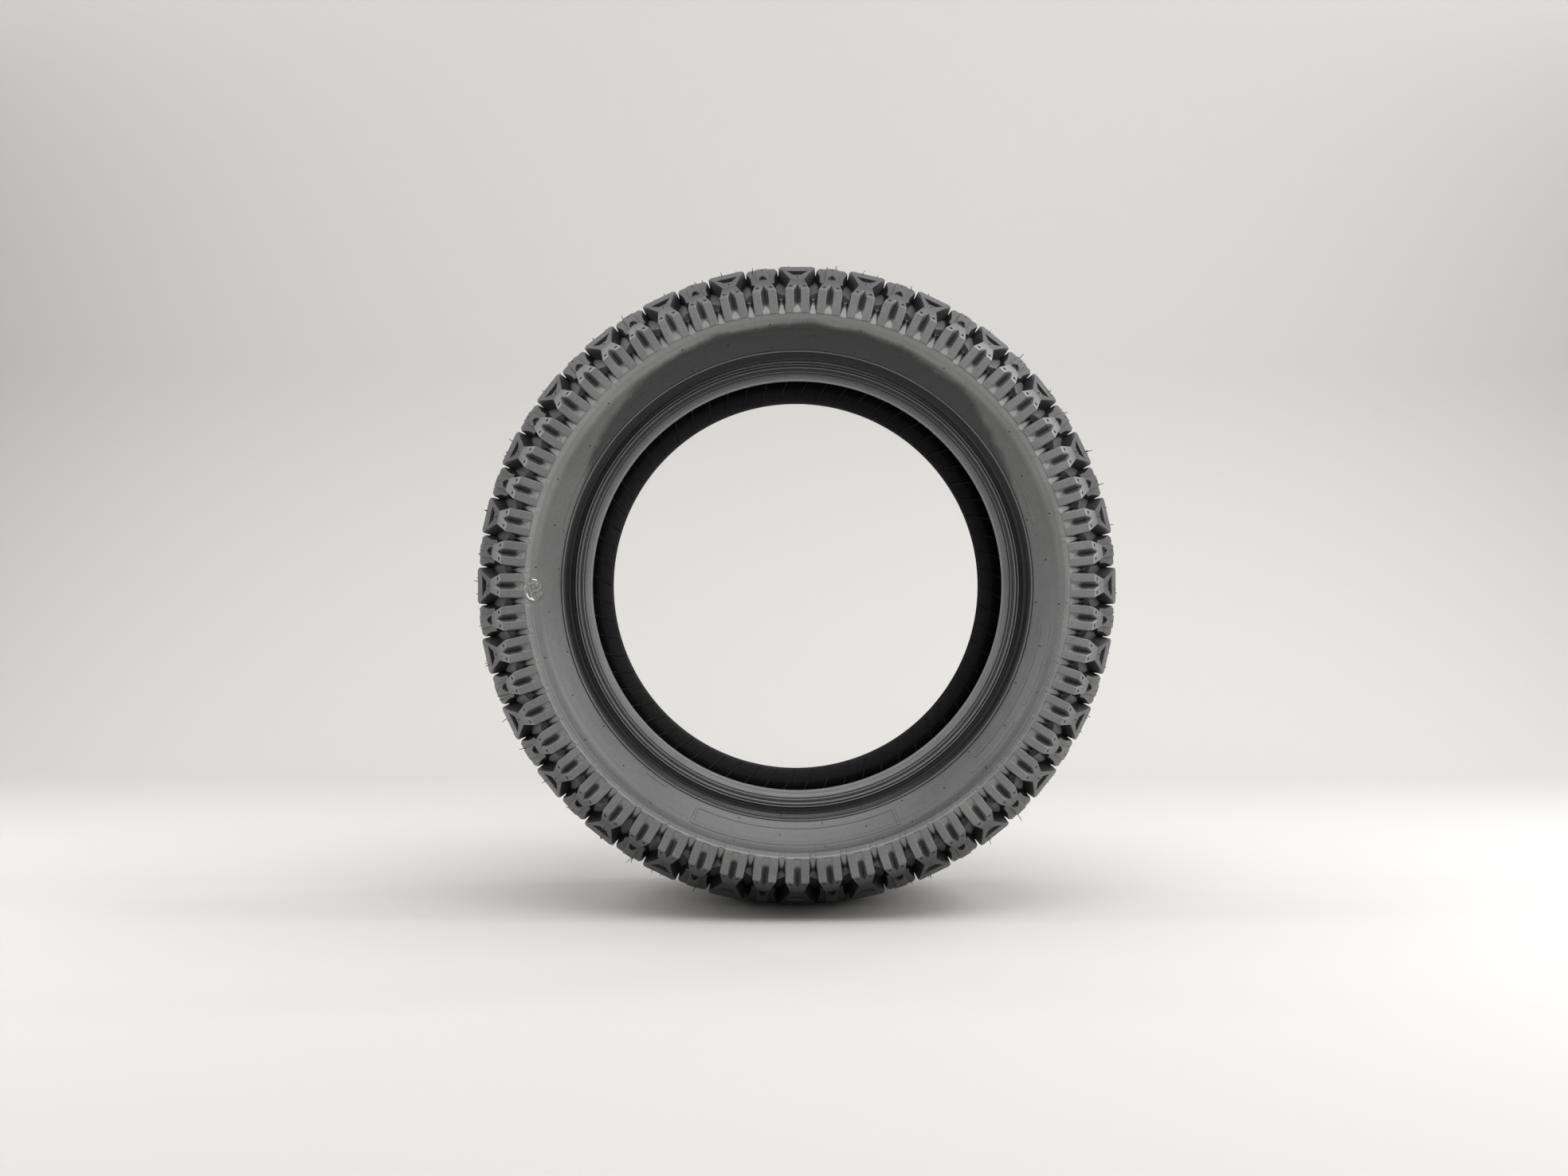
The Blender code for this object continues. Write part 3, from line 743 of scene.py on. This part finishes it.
def raised_bar(points, faces, side, angles, radii):
    """A low bar that follows the sidewall between two angles and two radii, with sloped edges."""
    a0, a1 = [math.radians(a) for a in angles]
    r0, r1 = radii
    steps = max(2, round(abs(a1 - a0) * r1 / 2.5))
    start = len(points)
    for k in range(steps + 1):
        a = a0 + (a1 - a0) * k / steps
        drawn_in = a + {0: BAR_BEVEL / r1, steps: -BAR_BEVEL / r1}.get(k, 0.0)
        points.append(on_wall(r0, a, side, SUNK_IN))
        points.append(on_wall(r0 + BAR_BEVEL, drawn_in, side, BAR_LIFT))
        points.append(on_wall(r1 - BAR_BEVEL, drawn_in, side, BAR_LIFT))
        points.append(on_wall(r1, a, side, SUNK_IN))
    for k in range(steps):
        low = start + 4 * k
        for i in range(3):
            face = (low + i, low + i + 1, low + i + 5, low + i + 4)
            faces.append(face if side > 0 else face[::-1])
    faces.append([start + i for i in range(4)])
    faces.append([start + 4 * steps + 3 - i for i in range(4)])


# Each bar's two angles in degrees, from the top towards +X, and its two radii. The last four frame a panel.
BARS = [
    ((54.0, 78.0), (207.5, 210.2)),
    ((283.0, 306.0), (202.9, 206.2)),
    ((213.0, 219.0), (202.9, 205.6)),
    ((317.0, 329.0), (207.2, 210.0)),
    ((99.0, 118.0), (215.2, 218.2)),
    ((122.0, 137.0), (215.2, 218.2)),
    ((100.0, 134.0), (208.3, 211.4)),
]
BARS += [((157.0, 204.0), (207.0, 207.9)), ((157.0, 204.0), (219.3, 220.2))]
BARS += [((156.5, 157.2), (207.0, 220.2)), ((203.8, 204.5), (207.0, 220.2))]


def side_light_mask(place, cloud):
    """Painted light down the sides of the wall and under the lug feet, there much more towards the top than
    the bottom; towards the top it starts only just under the feet, leaving the upper wall as painted shade
    with a ragged clouded edge. A painted highlight runs along the rim-line ridge.
    """
    radius, height = radius_of(place)
    light_inner_edge = 199.0 + height.step(0.25, 1.0) * 22.0
    foot = radius.step(219.0, 223.0)
    ridge_highlight = (1.0 - abs(radius - 200.5).step(0.4, 0.8)) * 0.5
    sides = (radius - light_inner_edge + (cloud - 0.5) * 14.0).step(-3.0, 4.0) * radius.step(201.6, 202.8)
    return sides * (0.43 + height * (foot * 0.45 + 0.07) + foot * 0.12) + ridge_highlight


# The side rubber's black is its shaded tone, and the lighter tone is painted light, with some clouded dust.
SIDE_BLACK, SIDE_DUST_AND_LIGHT = (0.028, 0.028, 0.0285), (0.22, 0.22, 0.218)
side_rubber = rubber("side_rubber", SIDE_BLACK, SIDE_DUST_AND_LIGHT, 0.42, grain=0.07, light_mask=side_light_mask)
dot_rubber = rubber("vent_dots", (0.012, 0.012, 0.0125), (0.02, 0.02, 0.02), 0.4)
for side, label in ((-1, "left"), (1, "right")):
    wall = turned("sidewall_skin_" + label, SIDE_LINE, side_rubber, side, SIDE_TURNS, smooth_under=32.0)
    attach(wall, "root")
    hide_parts("sidewall_" + label)
    dot_points = []
    dot_faces = []
    for k in range(VENTS_ROUND):
        for degrees, r in VENT_DOTS:
            a = math.radians(degrees + 360.0 / VENTS_ROUND * k)
            line = [on_wall(r, a, side, SUNK_IN), on_wall(r, a, side, 0.5)]
            stalk(dot_points, dot_faces, line, (0.8, 0.6))
    dots = new_piece("sidewall_vent_dots_" + label, dot_points, dot_faces, dot_rubber, smooth_under=30.0)
    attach(dots, "root")
    bar_points = []
    bar_faces = []
    for angles, radii in BARS:
        raised_bar(bar_points, bar_faces, side, angles, radii)
    bars = new_piece("sidewall_bars_" + label, bar_points, bar_faces, side_rubber, smooth_under=30.0)
    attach(bars, "root")


# The beads: rubbered cloth wrapped round the wire, from the toe inside, round the heel and up to the rim
# line. Fine ridges seal on the rim's flange, and short vent ticks cross the groove above them.
BEAD_LINE = [
    (105.6, 199.0),
    (105.0, 198.2),
    (104.3, 197.0),
    (103.6, 196.0),
    (103.6, 195.4),
    (104.3, 195.1),
    (103.7, 194.7),
    (104.0, 193.4),
    (104.7, 193.1),
    (104.3, 192.7),
    (104.75, 191.2),
    (105.1, 190.4),
    (105.8, 189.9),
    (106.2, 189.4),
    (106.1, 188.5),
    (105.5, 188.2),
    (105.4, 187.8),
    (106.3, 187.4),
    (106.25, 186.2),
    (105.6, 185.9),
    (105.5, 185.4),
    (106.2, 185.0),
    (106.15, 184.1),
    (105.7, 183.8),
    (106.3, 183.3),
    (106.1, 182.6),
    (105.95, 181.2),
    (105.6, 180.6),
    (105.1, 179.4),
    (104.2, 178.1),
    (103.0, 177.5),
    (99.0, 177.1),
    (95.0, 176.7),
    (93.4, 176.4),
    (92.6, 176.7),
    (92.25, 177.6),
    (92.1, 179.0),
    (92.1, 190.6),
]
# Radii and half widths of the seal grooves, where painted shade darkens the bead's colour.
BEAD_GROOVES = ((188.0, 0.6), (184.8, 0.6), (182.0, 0.4))
TICK_LINE = [(104.9, 198.0), (104.0, 196.0), (103.95, 193.0), (104.2, 191.4), (106.1, 189.8), (106.3, 184.0)]


def bead_light_mask(place, cloud):
    """Painted light on the ring that bears on the flange, less towards the top, with a painted highlight
    along the toe (more towards the top) and along the lip at the rim line, painted shade in the seal
    grooves, and none on the inner side.
    """
    radius, height = radius_of(place)
    ring = (0.7 - height * 0.3) * (1.0 - radius.step(189.4, 190.0))
    ring = ring + (1.0 - radius.step(178.8, 179.8)) * (height * 0.3 + 0.15)
    for groove, half in BEAD_GROOVES:
        ring = ring * (0.1 + abs(radius - groove).step(half, half + 0.5) * 0.9)
    lip_highlight = (1.0 - abs(radius - 194.9).step(0.3, 0.6)) * 0.25
    return (ring + lip_highlight) * aside(place).step(93.0, 95.0)


# The cloth's black is its shaded tone, and the lighter tone is painted light.
CLOTH_BLACK, CLOTH_DUST_AND_LIGHT = (0.006, 0.006, 0.0065), (0.16, 0.16, 0.16)
chafer_cloth = rubber("chafer_cloth", CLOTH_BLACK, CLOTH_DUST_AND_LIGHT, 0.38, grain=0.14, light_mask=bead_light_mask)
set_inputs(chafer_cloth, Specular_IOR_Level=0.35)
for side, label in ((-1, "left"), (1, "right")):
    bead = turned("bead_skin_" + label, BEAD_LINE, chafer_cloth, side, SIDE_TURNS, smooth_under=32.0)
    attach(bead, "root")
    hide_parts("chafer_" + label)
    tick_points = []
    tick_faces = []
    for k in range(VENTS_ROUND):
        a = math.radians(4.0 + 360.0 / VENTS_ROUND * k)
        line = [Vector((r * math.sin(a), side * y, r * math.cos(a))) for y, r in TICK_LINE]
        stalk(tick_points, tick_faces, line, (0.3,) * len(line))
    ticks = new_piece("bead_ticks_" + label, tick_points, tick_faces, chafer_cloth, smooth_under=70.0)
    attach(ticks, "root")


# The inner liner: a thin airtight skin of black rubber over the inside of the plies, with the slanted vent
# lines that the curing bladder presses into it. These run on over the inner wrap of the beads.
LINER_LINE = [
    (92.0, 190.4),
    (92.1, 197.0),
    (95.2, 201.6),
    (103.0, 211.8),
    (108.6, 219.6),
    (110.6, 223.4),
    (110.4, 227.6),
    (108.6, 230.8),
    (96.2, 241.4),
    (80.0, 247.8),
    (65.4, 253.4),
    (46.0, 257.6),
    (30.0, 261.0),
    (0.0, 261.1),
]
LINER_TURNS = 280
VENT_LINES, VENT_SLANT = 64, 0.0027
VENT_LINE = [(92.15, 178.4), (92.1, 184.0), (92.1, 190.4)] + LINER_LINE[1:9]
# The liner's near black is darker than the same rubber in its vent lines: painted shade for the inside of
# the tire.
liner_rubber = rubber("liner_rubber", (0.0035, 0.0037, 0.0045), (0.006, 0.0065, 0.008), 0.45, grain=1.0)
set_inputs(liner_rubber, Specular_IOR_Level=0.3)
other_half = [(-y, r) for y, r in LINER_LINE[-2::-1]]
liner = turned("liner_skin", LINER_LINE + other_half, liner_rubber, 1, LINER_TURNS, smooth_under=40.0)
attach(liner, "root")
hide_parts("inner_liner")
vent_points = []
vent_faces = []
for side in (-1, 1):
    for k in range(VENT_LINES):
        line = []
        for y, r in VENT_LINE:
            a = 2 * math.pi * k / VENT_LINES + side * VENT_SLANT * (r - 177.0)
            line.append(Vector((r * math.sin(a), side * (y - 0.25), r * math.cos(a))))
        stalk(vent_points, vent_faces, line, (0.9,) * len(line))
line_rubber = rubber("liner_lines", (0.028, 0.029, 0.032), (0.04, 0.041, 0.044), 0.45, grain=0.5)
vents = new_piece("liner_vent_lines", vent_points, vent_faces, line_rubber, smooth_under=70.0)
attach(vents, "root")


# The inspection sticker: a round of clear glossy film pressed on under the lug feet at nine o'clock, a
# little puckered at the rim; here it is an opaque glossy skin of mottled grey.
STICKER_RADIUS, STICKER_ANGLE, STICKER_R = 9.6, math.radians(-91.0), 223.4
STICKER_SIDES, STICKER_FLATTEN = 48, 0.76
film = new_material("clear_label")
place = Value.node("ShaderNodeTexCoord", {}, {}, 3)
blotch = noise(place, 420.0, 3.0, 0.6)
film_bump = {"Strength": 0.2, "Distance": 0.0006, "Height": blotch}
film_tint = {"Factor": blotch.step(0.42, 0.66), 6: (0.13, 0.13, 0.128, 1.0), 7: (0.24, 0.24, 0.235, 1.0)}
set_inputs(
    film,
    Base_Color=Value.node("ShaderNodeMix", {"data_type": "RGBA"}, film_tint, 2),
    Roughness=0.12,
    Coat_Weight=1.0,
    Normal=Value.node("ShaderNodeBump", {}, film_bump),
)
sticker_points = []
sticker_faces = []
STICKER_RINGS = [(0.0, 0.75), (0.4, 0.7), (0.8, 0.6), (0.9, 1.05), (1.0, 0.7), (1.0, 0.15)]
for share, lift in STICKER_RINGS[1:]:
    for k in range(STICKER_SIDES):
        a = 2 * math.pi * k / STICKER_SIDES
        reach = STICKER_RADIUS * share
        pucker = 0.08 * math.sin(5 * a) * share
        r = STICKER_R + reach * math.sin(a) * STICKER_FLATTEN
        angle = STICKER_ANGLE + reach * math.cos(a) / STICKER_R
        sticker_points.append(on_wall(r, angle, -1, lift + pucker))
sticker_points.append(on_wall(STICKER_R, STICKER_ANGLE, -1, 0.75))
for ring in range(len(STICKER_RINGS) - 2):
    low = STICKER_SIDES * ring
    high = low + STICKER_SIDES
    for k in range(STICKER_SIDES):
        j = (k + 1) % STICKER_SIDES
        sticker_faces.append((low + k, low + j, high + j, high + k))
for k in range(STICKER_SIDES):
    sticker_faces.append((len(sticker_points) - 1, (k + 1) % STICKER_SIDES, k))
sticker = new_piece("sticker_film", sticker_points, sticker_faces, film, smooth_under=40.0)
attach(sticker, "root")
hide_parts("inspection_sticker")


# What lies hidden between liner and tread: cord plies, breakers, cushion rubber, bead wire, filler and
# flipper. They keep their solids, and get the look of cord in skim rubber, coated wire and plain rubber.
def cord(name, light, dark, fineness):
    """Parallel cords under a thin skim of rubber."""
    made = new_material(name)
    place = Value.node("ShaderNodeTexCoord", {}, {}, 3)
    lines = Value.node(
        "ShaderNodeTexWave",
        {"bands_direction": "DIAGONAL"},
        {"Vector": place, "Scale": fineness, "Distortion": 0.0},
        1,
    )
    fuzz = noise(place, 400.0, 2.0, 0.5)
    tint = {"Factor": lines * 0.7 + fuzz * 0.3, 6: (*dark, 1.0), 7: (*light, 1.0)}
    set_inputs(
        made,
        Base_Color=Value.node("ShaderNodeMix", {"data_type": "RGBA"}, tint, 2),
        Roughness=0.7 + fuzz * 0.15,
        Normal=Value.node("ShaderNodeBump", {}, {"Strength": 0.5, "Distance": 0.0003, "Height": lines}),
    )
    return made


wire = new_material("bead_wire")
place = Value.node("ShaderNodeTexCoord", {}, {}, 3)
scratch = noise(place, 500.0, 3.0, 0.5)
set_inputs(wire, Base_Color=(0.55, 0.42, 0.26, 1.0), Metallic=1.0, Roughness=0.25 + scratch * 0.2)
plain = {
    "undertread": rubber("cushion_rubber", (0.03, 0.03, 0.032), (0.04, 0.04, 0.041), 0.6),
    "body_ply_outer": cord("body_cord", (0.33, 0.27, 0.18), (0.07, 0.06, 0.05), 190.0),
    "breaker_ply_outer": cord("breaker_cord", (0.40, 0.33, 0.23), (0.08, 0.07, 0.06), 150.0),
    "bead_filler_left": rubber("hard_rubber", (0.025, 0.025, 0.027), (0.03, 0.03, 0.031), 0.55),
    "bead_flipper_left": cord("flipper_cloth", (0.28, 0.25, 0.2), (0.06, 0.055, 0.05), 260.0),
    "bead_core_left": wire,
}
for node, surface in plain.items():
    for twin in sorted({node, node.replace("outer", "inner"), node.replace("left", "right")}):
        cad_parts[twin].data.materials.clear()
        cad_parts[twin].data.materials.append(surface)
